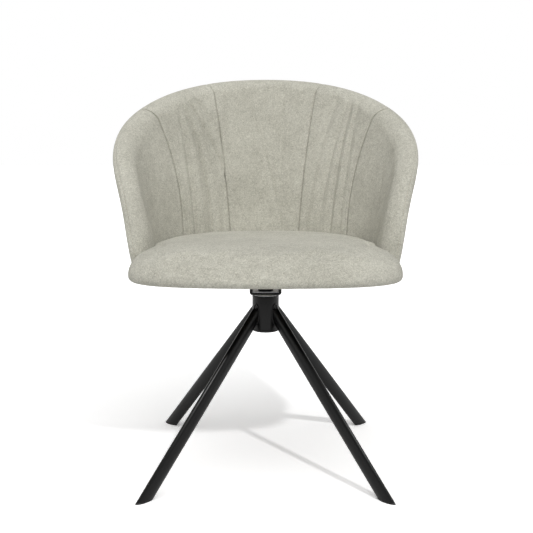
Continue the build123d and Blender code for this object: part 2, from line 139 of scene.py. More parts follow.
def make_cloth(name, dark, light, relief):
    """Chenille between two close colours, with a relief of its yarns in metres."""
    material, tree = new_material(name)
    place = add_node(tree, "ShaderNodeTexCoord").outputs["Object"]
    fleck_inputs = {"Vector": place, "Scale": 1 / yarn, "Detail": 2.5, "Roughness": 0.62, "Distortion": 1.2}
    fleck = add_node(tree, "ShaderNodeTexNoise", fleck_inputs).outputs["Fac"]
    curl_inputs = {"Vector": place, "Scale": 1 / curl, "Detail": 1.0, "Distortion": 1.6}
    curl_noise = add_node(tree, "ShaderNodeTexNoise", curl_inputs).outputs["Fac"]
    folded = add_node(tree, "ShaderNodeMath", {0: curl_noise, 1: 0.5}, operation="SUBTRACT").outputs[0]
    away = add_node(tree, "ShaderNodeMath", {0: folded}, operation="ABSOLUTE").outputs[0]
    worm = add_node(tree, "ShaderNodeMapRange", spread(away, 0.0, 0.12, 1.0, 0.0)).outputs["Result"]
    nap_inputs = {"Vector": place, "Scale": 1 / nap, "Detail": 3.0, "Roughness": 0.6}
    lay = add_node(tree, "ShaderNodeTexNoise", nap_inputs).outputs["Fac"]
    patch = add_node(tree, "ShaderNodeTexNoise", {"Vector": place, "Scale": 1 / hand_patch}).outputs["Fac"]
    both = add_node(tree, "ShaderNodeMath", {0: lay, 1: patch}, operation="ADD").outputs[0]
    soft = add_node(tree, "ShaderNodeMapRange", spread(both, 0.6, 1.4, -0.2, 0.2)).outputs["Result"]
    crisp = add_node(tree, "ShaderNodeMapRange", spread(fleck, 0.32, 0.68, 0.0, 0.72)).outputs["Result"]
    yarns = add_node(tree, "ShaderNodeMath", {0: worm, 1: 0.3, 2: crisp}, operation="MULTIPLY_ADD").outputs[0]
    share = add_node(tree, "ShaderNodeMath", {0: yarns, 1: soft}, operation="ADD", use_clamp=True).outputs[0]
    colour = add_node(tree, "ShaderNodeMix", between_colours(share, dark, light), data_type="RGBA").outputs[2]
    settings = {"Base Color": colour, "Roughness": 0.92}
    settings.update({"Specular IOR Level": 0.25, "Sheen Weight": 0.15, "Sheen Roughness": 0.6})
    shader = add_node(tree, "ShaderNodeBsdfPrincipled", settings)
    finish_material(tree, shader, yarns, relief)
    return material


cloth = make_cloth("chenille_cloth", "#9f9d90", "#dad8cb", 1.0 * mm)
print("cloth flecks, mm:", yarn / mm)

# %% [markdown]
# ## Metals, plastics and wood
# The base is mild steel with a satin black powder coat: a dielectric skin with a faint orange peel, whose
# gloss shows the white room at its edges. The liner, races and screws are zinc plated, so they are metals.
# Nylon, polypropylene and birch plywood are inside or underneath. A noise at the size of each finish's grain
# makes its colour, gloss and relief a little uneven.

# %% Hard materials
uneven = 0.05


def make_hard(name, dark, light, grain, roughness, relief, metallic=0.0, specular=0.5):
    """A hard finish: two close colours and a fine relief, over a grain of this size."""
    material, tree = new_material(name)
    place = add_node(tree, "ShaderNodeTexCoord").outputs["Object"]
    inputs = {"Vector": place, "Scale": 1 / grain, "Detail": 4.0, "Roughness": 0.55}
    pattern = add_node(tree, "ShaderNodeTexNoise", inputs).outputs["Fac"]
    share = add_node(tree, "ShaderNodeMapRange", spread(pattern, 0.35, 0.65)).outputs["Result"]
    colour = add_node(tree, "ShaderNodeMix", between_colours(share, dark, light), data_type="RGBA").outputs[2]
    rough_range = spread(pattern, 0.0, 1.0, roughness - uneven, roughness + uneven)
    settings = {"Base Color": colour, "Metallic": metallic, "Specular IOR Level": specular}
    settings["Roughness"] = add_node(tree, "ShaderNodeMapRange", rough_range).outputs["Result"]
    shader = add_node(tree, "ShaderNodeBsdfPrincipled", settings)
    finish_material(tree, shader, pattern, relief)
    return material


# Baked powder: a satin skin over steel, so light runs along a tube in soft streaks and not as a mirror.
powder_coat = make_hard("black_powder_coat", "#040404", "#080808", 0.9 * mm, 0.3, 0.02 * mm, specular=0.35)
# Barrel-plated zinc: a pale, slightly cloudy metal that blurs what it reflects.
zinc = make_hard("bright_zinc_plate", "#e4e5e6", "#f0f1f1", 3 * mm, 0.42, 0.01 * mm, metallic=1.0)
# Black oxide on a machined nut: dark and smooth, with a faint oily gloss.
black_oxide = make_hard("black_oxide_steel", "#101011", "#1c1c1d", 1.5 * mm, 0.38, 0.01 * mm)
# Moulded polypropylene: the mould's fine grain makes the black plastic dull.
polypropylene = make_hard("moulded_polypropylene", "#0e0e0e", "#161616", 0.6 * mm, 0.5, 0.02 * mm)
# Turned natural nylon: off-white and waxy.
nylon = make_hard("natural_nylon", "#cfccbf", "#dbd8cc", 2 * mm, 0.45, 0.01 * mm)
# Non-woven lining: pressed fibres with no weave, matt and nearly black.
lining = make_hard("non_woven_lining", "#161616", "#242424", 0.7 * mm, 0.9, 0.1 * mm, specular=0.2)

grain_length = 30 * mm
grain_width = 2.5 * mm


def make_plywood():
    """Birch plywood, peeled and pressed: a warm, half-matt face with a long, faint grain."""
    material, tree = new_material("birch_plywood")
    place = add_node(tree, "ShaderNodeTexCoord").outputs["Object"]
    squeezed = (1.0, grain_length / grain_width, grain_length / grain_width)
    turned = add_node(tree, "ShaderNodeMapping", {"Vector": place, "Scale": squeezed})
    inputs = {"Vector": turned.outputs["Vector"], "Scale": 1 / grain_length, "Detail": 5.0}
    pattern = add_node(tree, "ShaderNodeTexNoise", inputs).outputs["Fac"]
    share = add_node(tree, "ShaderNodeMapRange", spread(pattern, 0.3, 0.7)).outputs["Result"]
    colours = between_colours(share, "#b98f62", "#d9b98b")
    colour = add_node(tree, "ShaderNodeMix", colours, data_type="RGBA").outputs[2]
    shader = add_node(tree, "ShaderNodeBsdfPrincipled", {"Base Color": colour, "Roughness": 0.6})
    finish_material(tree, shader, pattern, 0.05 * mm)
    return material


slot_materials = {
    "black_steel": powder_coat,
    "zinc_steel": zinc,
    "black_nut": black_oxide,
    "glide_plastic": polypropylene,
    "nylon": nylon,
    "plywood": make_plywood(),
    "chenille": cloth,
    "base_cloth": lining,
}
for part in frame["record"]["subparts"]:
    piece = frame["nodes"][part["node"]]
    piece.data.materials.clear()
    piece.data.materials.append(slot_materials[part["material_slot"]])
print("materials:", len(slot_materials), "on CAD nodes:", len(frame["nodes"]))

# %% [markdown]
# ## Making pieces
# Every new piece starts in bmesh and ends as an object at the origin, with its place in its mesh. It rides
# on a body of the frame, and the CAD nodes that it stands for are hidden.

# %% Piece helpers
merge_distance = 0.01 * mm


def new_object(name, bm, material):
    """Object from a finished bmesh, smooth-shaded, with the faces of a closed one pointing outwards."""
    if not any(edge.is_boundary for edge in bm.edges):
        bmesh.ops.recalc_face_normals(bm, faces=bm.faces)
        if bm.calc_volume(signed=True) < 0:
            bmesh.ops.reverse_faces(bm, faces=bm.faces)
    mesh = bpy.data.meshes.new(name)
    bm.to_mesh(mesh)
    bm.free()
    mesh.materials.append(material)
    mesh.shade_smooth()
    piece = bpy.data.objects.new(name, mesh)
    bpy.context.scene.collection.objects.link(piece)
    return piece


def place_piece(piece, body, nodes):
    """Hangs a finished piece on the body that it rides on, and hides the nodes that it stands for."""
    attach(piece, body)
    if nodes:
        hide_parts(*nodes)
    print(piece.name, "faces:", len(piece.data.polygons))


def apply_modifiers(piece):
    """Replaces the mesh by what its modifiers make of it."""
    shown = piece.evaluated_get(bpy.context.evaluated_depsgraph_get())
    made = bpy.data.meshes.new_from_object(shown)
    material = piece.data.materials[0]
    piece.modifiers.clear()
    piece.data = made
    made.materials.clear()
    made.materials.append(material)
    made.shade_smooth()


def subdivide(piece):
    """One level of smooth subdivision, kept as mesh."""
    step = piece.modifiers.new("Subdivision", "SUBSURF")
    step.levels = 1
    step.render_levels = 1
    apply_modifiers(piece)


# %% [markdown]
# ## The shape of the tub
# The tub's wall leans outwards round an oval plan, and its rim falls from the back to the arms. A place on
# it is a turn in degrees from the back, a height, and a depth under the outer face. All padding is made as
# flat slabs that a function bends onto this wall. The ends of the arms are drawn in a little, because
# their cloth is pulled tight there.

# %% Tub
half_width = 266 * mm
tub_centre = -30 * mm
tub_rear = 222 * mm
tub_front = 478 * mm
roundness = 1.81
flare = 0.212
plan_height = 440 * mm
rim_height = 809.5 * mm
rim_foot = 392.5 * mm
rim_turn = 114.0
rim_fall = 2.09
rim_swell = 1.88
arm_tuck = 7 * mm
tuck_turns = 90.0, 108.0
tuck_heights = 440 * mm, 580 * mm


def ease(share):
    """Share from 0 to 1 with a soft start and end."""
    share = min(1.0, max(0.0, share))
    return share * share * (3 - 2 * share)


def plan_reach(turn):
    """Radius of the outer face at the plan's height."""
    along = tub_rear if cos(radians(turn)) > 0 else tub_front
    share = abs(sin(radians(turn)) / half_width) ** roundness + abs(cos(radians(turn)) / along) ** roundness
    return share ** (-1 / roundness)


def outer_reach(turn, height):
    """Radius of the outer face at a height, with the tuck at the upper ends of the arms."""
    along = ease((abs(turn) - tuck_turns[0]) / (tuck_turns[1] - tuck_turns[0]))
    up = ease((height - tuck_heights[0]) / (tuck_heights[1] - tuck_heights[0]))
    return plan_reach(turn) + flare * (height - plan_height) - arm_tuck * along * up


def wall_point(turn, height, depth):
    """Place of a turn, height and depth under the outer face."""
    reach = outer_reach(turn, height) - depth
    return Vector((reach * sin(radians(turn)), tub_centre + reach * cos(radians(turn)), height))


def wall_place(point):
    """Turn and depth of a point."""
    turn = degrees(atan2(point.x, point.y - tub_centre))
    return turn, outer_reach(turn, point.z) - hypot(point.x, point.y - tub_centre)


def rim_at(turn):
    """Height of the rim."""
    fallen = min(1.0, abs(turn) / rim_turn) ** rim_fall
    return rim_foot + (rim_height - rim_foot) * (1 - fallen) ** (1 / rim_swell)


print("rim at back and at 90 degrees, mm:", round(rim_at(0) / mm), round(rim_at(90) / mm))

# %% [markdown]
# ## Rolling the padding over the rim
# At the back the rim runs level and the padding rolls over it in an upright plane. Down the front of an arm
# the rim runs almost upright, so there the roll turns flat. The roll is therefore taken square to the rim:
# `into_wall` gives that direction, in the wall's own surface. The panels end on the seat board, but at the
# ends of the arms, beside the cushion, they go down to the tub's bottom.

# %% Roll
roll_radius = 24.4 * mm
roll_depth = 21.6 * mm
seam_angle = 118.0
board_gap = 0.4 * mm
panel_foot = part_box("seat_board")[1].z + board_gap
tub_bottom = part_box("outer_cover")[0].z
bottom_gap = 1 * mm
foot_turns = 101.0, 106.0


def foot_at(turn):
    """Height of a panel's foot: on the seat board, but down to the tub's bottom at the ends of the arms."""
    along = ease((abs(turn) - foot_turns[0]) / (foot_turns[1] - foot_turns[0]))
    return panel_foot + (tub_bottom + bottom_gap - panel_foot) * along


def into_wall(turn):
    """Degrees and metres that one metre into the wall, square to the rim, moves along it and down."""
    step = 0.25
    near, far = max(-rim_turn, turn - step), min(rim_turn, turn + step)
    arc = radians(far - near) * plan_reach(turn)
    fall = rim_at(far) - rim_at(near)
    length = hypot(arc, fall)
    return degrees(fall / length / plan_reach(turn)), arc / length


def roll_point(turn, angle, radius=roll_radius):
    """Turn, height and depth on the roll; the angle runs from the seam, over the top, to 0 inside."""
    along, down = into_wall(turn)
    drop = roll_radius - radius * sin(radians(angle))
    height = max(foot_at(turn), rim_at(turn) - down * drop)
    return turn + along * drop, height, roll_depth + radius * cos(radians(angle))


# %% [markdown]
# ## A slab of padding
# Each panel starts as a flat grid, 1 by 1, that is given a thickness, so it is closed. x runs from seam to
# seam and y from the rim to the seat. Cuts round its edge hold the edge's shape when it is subdivided. A
# voxel remesh isn't needed, because the slab is even already, and it would eat the edges at the seams.

# %% Slab
slab_depth = 0.1  # of the slab's width, until it is bent onto the wall
edge_cuts = 3
crowding = 0.6


def flat_slab(columns, rows):
    """Bmesh of the slab, and each vertex's x, y and depth as shares from 0 to 1."""
    bm = bmesh.new()
    bmesh.ops.create_grid(bm, x_segments=columns, y_segments=rows, size=0.5)
    bmesh.ops.translate(bm, vec=(0.5, 0.5, 0), verts=bm.verts)
    bmesh.ops.solidify(bm, geom=bm.faces[:], thickness=slab_depth)
    walls = [edge for edge in bm.edges if abs(edge.verts[0].co.z - edge.verts[1].co.z) > slab_depth / 2]
    bmesh.ops.subdivide_edges(bm, edges=walls, cuts=edge_cuts, use_grid_fill=True)
    shares = []
    for vertex in bm.verts:
        x, y, z = vertex.co
        shares.append((min(1, max(0, x)), min(1, max(0, y)), min(1, abs(z) / slab_depth)))
    return bm, shares


def crowd(share):
    """Share from 0 to 1, crowded towards both ends."""
    return share - crowding * sin(2 * pi * share) / (2 * pi)


# %% [markdown]
# ## Inflating with cloth
# Foam presses its cover outwards, and the cover is held at the seams. Blender's Cloth does the same: an
# inner pressure swells the mesh while a vertex group pins what is sewn or hidden. Twenty frames are enough
# to settle, and a cap keeps each point near where it began. Cloth that is held all round pulls inwards as
# it swells, so a piece may be given cloth that is a little larger than it.

# %% Inflate
last_frame = 20


def inflate(piece, pressure, cap, pins, ease_in=0.0):
    """Swells a closed piece; pins says how firmly each vertex is held, ease_in how much the cloth grows."""
    start = [vertex.co.copy() for vertex in piece.data.vertices]
    group = piece.vertex_groups.new(name="pins")
    for index, weight in enumerate(pins):
        group.add([index], weight, "REPLACE")
    step = piece.modifiers.new("Cloth", "CLOTH")
    step.settings.quality = 5
    step.settings.mass = 0.3
    step.settings.tension_stiffness = 12
    step.settings.compression_stiffness = 12
    step.settings.bending_stiffness = 0.6
    step.settings.shrink_min = -ease_in
    step.settings.use_pressure = True
    step.settings.uniform_pressure_force = pressure
    step.settings.vertex_group_mass = "pins"
    step.settings.effector_weights.gravity = 0
    step.point_cache.frame_start = 1
    step.point_cache.frame_end = last_frame
    for number in range(1, last_frame + 1):
        bpy.context.scene.frame_set(number)
    apply_modifiers(piece)
    piece.vertex_groups.clear()
    moves = []
    for vertex, origin in zip(piece.data.vertices, start):
        move = vertex.co - origin
        moves.append(move.length)
        if move.length > cap:
            vertex.co = origin + move.normalized() * cap
    bpy.context.scene.frame_set(1)
    mean, most = sum(moves) / len(moves), max(moves)
    print(piece.name, "swelled, mm: mean", round(mean / mm, 1), "most", round(most / mm, 1))


# %% [markdown]
# ## Seams
# Two seams run down each side of the back. On the chair they aren't upright: the centre ones draw together
# towards the seat, and the side ones bow towards the middle. A seam, and later a fold, is given by its turn
# at the rim, half way down and at the seat, because a curve through three values is easy to adjust. The
# padding ends at `arm_end`, just short of the end of the rim at the front of an arm.

# %% Seams
left_side_seam = (-64.2, -57.3, -62.5)
left_centre_seam = (-28.4, -25.4, -25.2)
right_centre_seam = (27.6, 24.0, 23.4)
right_side_seam = (63.8, 56.9, 60.8)
arm_end = 113.9


def at_share(values, share):
    """Value of a smooth curve whose values at 1, one half and 0 are given."""
    top, middle, foot = values
    return foot + (4 * middle - 3 * foot - top) * share + 2 * (top + foot - 2 * middle) * share**2


def between(first, second, share):
    """Three values part of the way from one set to another."""
    return [a + (b - a) * share for a, b in zip(first, second)]


left_width, right_width = left_centre_seam[0] - left_side_seam[0], right_side_seam[0] - right_centre_seam[0]
print("gathered panels at the rim, degrees wide:", round(left_width, 1), round(right_width, 1))

# %% [markdown]
# ## One panel
# A column of the slab starts at the seam behind the rim, goes over the roll and then down the inner face.
# The back of the slab follows the moulded core: it is never seen, but it makes the panel a closed cushion.
# `roll_share` is the part of a column that goes over the roll, and `belly` how far the cover swells half
# way down. Beside a seam the cover dips, by an amount of its own for each seam, and once more at the
# stitches.

# %% Panel mapping
belly = 5 * mm
back_depth = 21 * mm
skin = 1.5 * mm
roll_share = 0.17
dip_width = 8 * mm
stitch_depth = 1.6 * mm
stitch_width = 2.6 * mm


def panel_spot(turns, y, edge_dip):
    """Front and back places of a column at y, for its three turns."""
    if y < roll_share:
        part = y / roll_share
        angle = seam_angle * (1 - part)
        front = roll_point(turns[0], angle, roll_radius - edge_dip * part)
        return wall_point(*front), wall_point(*roll_point(turns[0], angle, (roll_radius - skin) * (1 - part)))
    share = 1 - (y - roll_share) / (1 - roll_share)
    top_turn, top, depth = roll_point(turns[0], 0)
    turn = at_share((top_turn, turns[1], turns[2]), share)
    foot = foot_at(turns[0])
    height = foot + share * (top - foot)
    front_depth = depth + belly * 4 * share * (1 - share) - edge_dip
    return wall_point(turn, height, front_depth), wall_point(turn, height, back_depth)


def seam_dip(away, depth):
    """How far the cover lies back at a distance from a seam: a wide dip, and a narrow one for the stitches."""
    return depth * max(0, 1 - away / dip_width) ** 2 + stitch_depth * max(0, 1 - away / stitch_width) ** 2


def panel_point(x, y, deep, borders, dips):
    """Place of a slab's vertex between two borders with their dips."""
    width = radians(abs(borders[1][1] - borders[0][1])) * tub_rear
    dip = seam_dip(x * width, dips[0]) + seam_dip((1 - x) * width, dips[1])
    front, back = panel_spot(between(borders[0], borders[1], x), y, dip)
    return front.lerp(back, deep**2)


# %% [markdown]
# ## Folds
# The maker gathers the cloth of the panels at the upper corners of the back, so soft folds fan out from
# there and die away towards the seat. Such wide folds are real shape, not bump. Each is a line given as a
# seam is, a height in millimetres at the same three places, above zero for a ridge and below for a crease,
# and a width. They are pressed into the mesh after it is inflated, because inflating would smooth them out.

# %% Folds
front_margin = 6 * mm
folds = {
    "pleated_padding_left": [
        ((-48.6, -48.9, -52.0), (-2.3, -5.7, -4.6), 5 * mm),
        ((-48.2, -44.2, -46.6), (3.1, 4.3, 3.1), 9 * mm),
        ((-46.4, -39.3, -40.6), (-3.8, -5.9, -2.0), 4 * mm),
        ((-44.6, -34.8, -35.5), (3.1, 3.1, 1.5), 10 * mm),
        ((-42.8, -26.0, -12.0), (-4.3, -2.0, 0.0), 4 * mm),
        ((-40.6, -23.0, -8.0), (2.8, 0.8, 0.0), 7 * mm),
        ((-38.2, -17.0, 4.0), (-3.1, 0.0, 0.0), 4 * mm),
    ],
    "pleated_padding_right": [
        ((38.4, 32.0, 27.0), (-2.4, -0.8, 0.0), 5 * mm),
        ((43.6, 34.2, 32.0), (2.7, 2.3, 0.8), 9 * mm),
        ((45.6, 39.8, 37.5), (-3.8, -2.8, 0.0), 4 * mm),
        ((46.0, 42.4, 43.2), (1.8, 2.0, 0.8), 6 * mm),
        ((47.2, 45.9, 47.2), (-3.0, -4.3, -0.9), 4 * mm),
        ((49.8, 48.4, 49.6), (2.8, 1.8, 0.4), 6 * mm),
        ((51.0, 52.0, 55.0), (-3.0, -2.0, 0.0), 4 * mm),
        ((54.8, 54.8, 56.0), (1.4, 0.5, 0.0), 6 * mm),
    ],
    "centre_padding": [
        ((-9.4, -5.2, -6.0), (-1.4, -2.3, 0.0), 6 * mm),
        ((-12.0, 2.2, 15.0), (0.0, -1.9, 0.0), 5 * mm),
        ((8.4, 9.6, 9.6), (-2.0, -1.1, 0.0), 5 * mm),
        ((17.0, 15.0, 14.0), (1.9, 1.2, 0.0), 14 * mm),
    ],
}


def fold_height(turn, share, lines):
    """Height of all folds at a place, in metres."""
    total = 0.0
    for turns, heights, width in lines:
        away = radians(turn - at_share(turns, min(1.0, share))) * tub_rear
        total += at_share(heights, min(1.0, share)) * mm * exp(-((away / width) ** 2))
    return total


def press_folds(piece, lines):
    """Moves the front of a panel along its normals; the folds fade out over the rim, and the back stays."""
    moves = []
    for vertex in piece.data.vertices:
        turn, depth = wall_place(vertex.co)
        top = rim_at(turn) - roll_radius
        share = (vertex.co.z - panel_foot) / (top - panel_foot)
        fade = max(0.0, 1 - (vertex.co.z - top) / roll_radius) if share > 1 else 1.0
        shown = depth > roll_depth + front_margin
        moves.append(vertex.normal * fold_height(turn, share, lines) * fade if shown else Vector())
    for vertex, move in zip(piece.data.vertices, moves):
        vertex.co += move
    piece.data.update()


print("folds:", {name: len(lines) for name, lines in folds.items()})

# %% [markdown]
# ## The five inner panels
# The slab is bent onto the wall, inflated, subdivided and folded. It is held where it is sewn, at its edges,
# and over the rim, where the cloth is pulled tight over the core. Towards the end of an arm its rows crowd
# together, and there the side panels are held as well, or they would buckle.

# %% Inner panels
centre_dip = 2.2 * mm
lip = -0.9 * mm
tuck_under = 2.4 * mm
rim_hold = 0.12
arm_hold = 0.8
arm_fade = 0.15
arm_foot_end = 108.0
panel_pressure = 2.0
panel_rows = 104


def make_panel(name, node, borders, dips, columns, cap, held_from=1.0):
    """A padded panel between two borders; beyond held_from it isn't inflated."""
    bm, shares = flat_slab(columns, panel_rows)
    pins = []
    for vertex, (x, y, deep) in zip(bm.verts, shares):
        vertex.co = panel_point(crowd(x), y, deep, borders, dips)
        cells_in = min(x * columns, (1 - x) * columns, y * panel_rows, (1 - y) * panel_rows)
        over_rim = 1 - ease((y - roll_share) / rim_hold)
        on_arm = ease((x - held_from + arm_fade) / arm_fade)
        pins.append(1.0 if deep > 0 or cells_in < 0.5 else max(over_rim, on_arm))
    piece = new_object(name, bm, cloth)
    inflate(piece, panel_pressure, cap, pins)
    subdivide(piece)
    if name in folds:
        press_folds(piece, folds[name])
    place_piece(piece, "seat", [node])


middle, dips = (left_centre_seam, right_centre_seam), (centre_dip, centre_dip)
make_panel("centre_padding", "centre_panel", middle, dips, columns=60, cap=1.6 * mm)
for side, name, centre_edge, side_edge in (
    (-1, "left", left_centre_seam, left_side_seam),
    (1, "right", right_centre_seam, right_side_seam),
):
    edges, dips = (centre_edge, side_edge), (centre_dip, lip)
    make_panel(f"pleated_padding_{name}", f"pleated_panel_{name}", edges, dips, columns=56, cap=1.2 * mm)
    end = (side * arm_end, side * arm_foot_end, side * arm_foot_end)
    edges, dips = (side_edge, end), (tuck_under, 0)
    make_panel(f"side_padding_{name}", f"side_panel_{name}", edges, dips, 80, 1.4 * mm, held_from=arm_hold)

# %% [markdown]
# ## Outer cover
# The outside of the tub is one piece of cloth over thin foam. It rolls over the rim from behind and meets
# the inner panels in a seam just under the top, which goes on down the front of each arm. It is a slab
# bent the same way, and thin enough to keep its shape without inflating. Its columns crowd towards the
# arms, where the rim turns down.

# %% Outer cover
cover_thickness = 9 * mm
cover_roll = 0.1
roll_in = 10 * mm
roll_drop = 14 * mm
seam_drop = 3 * mm
inner_drop = 4 * mm
cover_columns, cover_rows = 130, 84
arm_crowding = 1.5


def cover_spot(turn, y, inner):
    """Place on the outer face at a rim turn, or on the inner face, which is kept inside it."""
    along, down = into_wall(turn)
    part = min(1.0, y / cover_roll) * pi / 2
    depth = roll_in * (1 - sin(part))
    drop = seam_drop + roll_drop * (1 - cos(part))
    if inner:
        depth = max(depth, cover_thickness)
        drop += inner_drop
    height = rim_at(turn) - down * drop
    if y > cover_roll:
        share = 1 - (y - cover_roll) / (1 - cover_roll)
        height = tub_bottom + share * (height - tub_bottom)
    return wall_point(turn + along * drop, max(tub_bottom, height), depth)


cover_bm, cover_shares = flat_slab(cover_columns, cover_rows)
for vertex, (x, y, deep) in zip(cover_bm.verts, cover_shares):
    from_middle = abs(2 * x - 1)
    rim_place = arm_end * (1 - (1 - from_middle) ** arm_crowding) * (1 if x > 0.5 else -1)
    vertex.co = cover_spot(rim_place, y, False).lerp(cover_spot(rim_place, y, True), deep**2)
cover = new_object("outer_upholstery", cover_bm, cloth)
subdivide(cover)
place_piece(cover, "seat", ["outer_cover"])

# %% [markdown]
# ## Seat cushion
# A crowned foam pad on a plywood board, its cover drawn under the edge. The CAD solid already has the pad's
# outline and the room for the board and the tub, so a copy of it is remeshed to even quads, evened out,
# drawn in a little and inflated, which rounds it the way foam does. Its crown is evened in height only, so
# that the outline stays. It is pinned underneath, round the board and against the tub, and its cloth is
# made slightly larger, or the pins would pull its front edge in.

# %% Seat cushion
draw_in = 1.5 * mm
seat_voxel = 5 * mm
seat_pressure = 0.5
seat_cap = 4 * mm
seat_ease = 0.04
even_passes = 6
crown_passes = 120
crown_slope = 0.8  # upward part of the normal


def smooth(bm, verts, passes, height_only=False):
    """Evens out vertices, in every direction or in height only."""
    axes = {"use_axis_x": not height_only, "use_axis_y": not height_only, "use_axis_z": True}
    for repeat in range(passes):
        bmesh.ops.smooth_vert(bm, verts=verts, factor=0.5, **axes)
    bm.normal_update()


seat_bm = bmesh.new()
seat_bm.from_mesh(frame["nodes"]["seat_pad"].data)
bmesh.ops.remove_doubles(seat_bm, verts=seat_bm.verts, dist=merge_distance)
seat = new_object("seat_cushion", seat_bm, cloth)
step = seat.modifiers.new("Remesh", "REMESH")
step.mode = "VOXEL"
step.voxel_size = seat_voxel
apply_modifiers(seat)

seat_bm = bmesh.new()
seat_bm.from_mesh(seat.data)
smooth(seat_bm, seat_bm.verts, even_passes)
crown = [vertex for vertex in seat_bm.verts if vertex.normal.z > crown_slope]
smooth(seat_bm, crown, crown_passes, height_only=True)
for vertex in seat_bm.verts:
    vertex.co -= vertex.normal * draw_in
seat_bm.to_mesh(seat.data)
seat_bm.free()

# %% Seat cushion, held and inflated
seat_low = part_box("seat_pad")[0].z
under_hold, under_fade = 4 * mm, 16 * mm
board_top = panel_foot + 2 * mm
board_reach = 235 * mm
side_slope = 0.3
tub_face = 54 * mm


def seat_hold(vertex):
    """Held firmly underneath, round the board and against the tub, and free on the top and the front."""
    under = 1 - ease((vertex.co.z - seat_low - under_hold) / under_fade)
    from_axis = hypot(vertex.co.x, vertex.co.y)
    at_board = vertex.normal.z < side_slope and vertex.co.z < board_top and from_axis < board_reach
    by_tub = wall_place(vertex.co)[1] < tub_face
    return max(under, 1.0 if at_board or by_tub else 0.0)


seat_pins = [seat_hold(vertex) for vertex in seat.data.vertices]
inflate(seat, seat_pressure, seat_cap, seat_pins, ease_in=seat_ease)
subdivide(seat)
place_piece(seat, "seat", ["seat_pad"])

# %% [markdown]
# ## Legs
# Each leg is a length of oval steel tube, cut level at the glide and to the hub's curve at the top, where
# it is welded on. A circle is stretched to the oval, turned to the leg's lean and extruded along it, and
# a plane cuts it at the glide. It starts a little behind the hub's outer face, so no gap shows at the weld.

# %% Leg tubes
foot_spread = 454 * mm
leg_apex = 345 * mm
leg_width = 29 * mm
leg_thickness = 15 * mm
hub_radius = (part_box("hub_tube")[1].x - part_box("hub_tube")[0].x) / 2
hub_low, hub_high = (corner.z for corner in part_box("hub_tube"))
glide_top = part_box("leg_front_left")[0].z
oval_steps = 56
leg_inset = 4 * mm
cut_edge = 0.5 * mm
bevel_options = {"offset_type": "OFFSET", "affect": "EDGES", "profile": 0.5, "material": -1}


def leg_frame(side, end):
    """Turns and moves a shape from upright at the origin to the leg's apex, with z down the leg."""
    down = Vector((side * foot_spread / 2, end * foot_spread / 2, -leg_apex)).normalized()
    across = Vector((-end, side, 0)).normalized()
    turn = Matrix((across, down.cross(across), down)).transposed().to_4x4()
    return Matrix.Translation((0, 0, leg_apex)) @ turn


def bevel_sharp(bm, width, segments, angle=35.0):
    """Rounds the edges sharper than an angle."""
    sharp = [edge for edge in bm.edges if edge.is_manifold and edge.calc_face_angle(0) > radians(angle)]
    bmesh.ops.bevel(bm, geom=sharp, offset=width, segments=segments, clamp_overlap=True, **bevel_options)


def make_leg(name, side, end):
    """One leg as a closed oval bar."""
    bm = bmesh.new()
    ring = bmesh.ops.create_circle(bm, segments=oval_steps, radius=1.0, cap_ends=True)["verts"]
    bmesh.ops.scale(bm, vec=(leg_thickness / 2, leg_width / 2, 1), verts=ring)
    reach = foot_spread / 2 * sqrt(2)
    start = (hub_radius - leg_inset) / reach * hypot(reach, leg_apex)
    bmesh.ops.translate(bm, vec=(0, 0, start), verts=ring)
    past_floor = hypot(foot_spread, leg_apex)
    made = bmesh.ops.extrude_face_region(bm, geom=bm.faces[:])["geom"]
    moved = [item for item in made if isinstance(item, bmesh.types.BMVert)]
    bmesh.ops.translate(bm, vec=(0, 0, past_floor), verts=moved)
    bmesh.ops.transform(bm, matrix=leg_frame(side, end), verts=bm.verts)
    everything = bm.verts[:] + bm.edges[:] + bm.faces[:]
    cut = {"plane_co": (0, 0, glide_top), "plane_no": (0, 0, -1), "clear_outer": True}
    bmesh.ops.bisect_plane(bm, geom=everything, **cut)
    rim = [edge for edge in bm.edges if edge.is_boundary]
    bmesh.ops.holes_fill(bm, edges=rim, sides=0)
    bevel_sharp(bm, cut_edge, 2)
    leg = new_object(name, bm, powder_coat)
    place_piece(leg, "base", [name.replace("tube", "leg")])


for side, side_name in ((-1, "left"), (1, "right")):
    for end, end_name in ((-1, "front"), (1, "rear")):
        make_leg(f"tube_{end_name}_{side_name}", side, end)

# %% [markdown]
# ## Welds
# A fillet weld runs round each leg where it meets the hub. Its line is where the oval tube cuts the hub's
# cylinder, so each point of the oval is slid along the leg until it is as far from the axis as the hub:
# that distance is the larger root of a quadratic. A closed curve with a round bevel gives the bead, and it
# is kept as mesh.

# %% Hub welds
bead_radius = 1.5 * mm


def weld_line(side, end):
    """Points round the joint between a leg and the hub."""
    turn = leg_frame(side, end)
    down = turn.to_3x3() @ Vector((0, 0, 1))
    points = []
    for step in range(oval_steps):
        angle = 2 * pi * step / oval_steps
        start = turn @ Vector((leg_thickness / 2 * cos(angle), leg_width / 2 * sin(angle), 0))
        a = down.x**2 + down.y**2
        b = start.x * down.x + start.y * down.y
        c = start.x**2 + start.y**2 - hub_radius**2
        points.append(start + down * ((sqrt(b * b - a * c) - b) / a))
    return points


